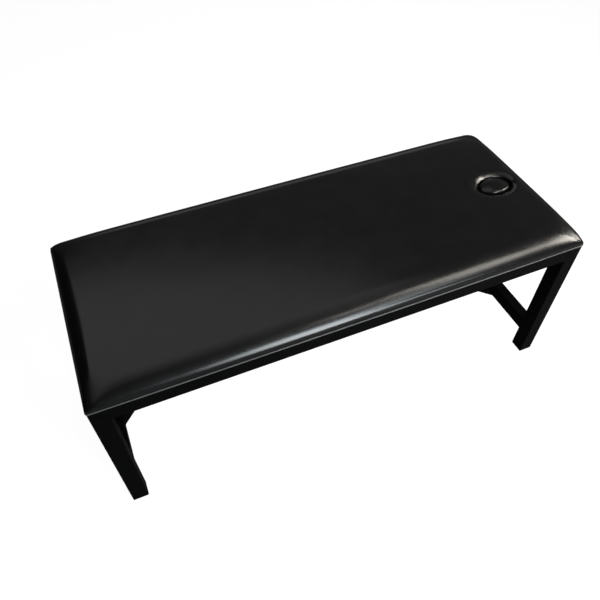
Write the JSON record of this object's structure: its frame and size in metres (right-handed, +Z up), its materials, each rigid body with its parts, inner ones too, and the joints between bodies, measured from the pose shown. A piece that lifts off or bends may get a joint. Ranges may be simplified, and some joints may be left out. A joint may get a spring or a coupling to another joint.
{
  "type": "massage bed",
  "caption": "Fixed massage bed: padded vinyl top with an oval face hole and its lift-out plug, on a welded square-tube frame with low end stretchers.",
  "frame": {"origin": "on the floor, at the middle of the bed's footprint", "axes": "+X along the bed to the head end, where the face hole is; +Y across the bed; +Z up"},
  "size_m": [1.85, 0.754, 0.7244],
  "materials": {
    "frame_paint": "black powder coat, low sheen",
    "zinc_screw": "zinc plated",
    "cap_plastic": "black moulded plastic",
    "plywood": "bare birch plywood",
    "foam": "open-cell upholstery foam",
    "vinyl": "black grained upholstery vinyl, semi-gloss"
  },
  "bodies": {
    "frame": {"leg_front_left": "frame_paint", "leg_front_right": "frame_paint", "leg_back_left": "frame_paint", "leg_back_right": "frame_paint", "rail_front": "frame_paint", "rail_back": "frame_paint", "rail_left": "frame_paint", "rail_right": "frame_paint", "cross_rail_foot": "frame_paint", "cross_rail_middle": "frame_paint", "cross_rail_head": "frame_paint", "stretcher_left": "frame_paint", "stretcher_right": "frame_paint", "stretcher_centre": "frame_paint", "brace_front_left": "frame_paint", "brace_front_right": "frame_paint", "brace_back_left": "frame_paint", "brace_back_right": "frame_paint", "board_tabs": "frame_paint", "board_screws": "zinc_screw", "foot_cap_front_left": "cap_plastic", "foot_cap_front_right": "cap_plastic", "foot_cap_back_left": "cap_plastic", "foot_cap_back_right": "cap_plastic", "top_board": "plywood", "pad_foam": "foam", "pad_cover": "vinyl"},
    "face_plug": {"plug_disc": "plywood", "plug_foam": "foam", "plug_cover": "vinyl"}
  },
  "joints": [
    {"name": "plug_lift", "type": "slide", "parent": "frame", "child": "face_plug", "axis": [0, 0, 1], "range_m": [0, 0.12]}
  ]
}
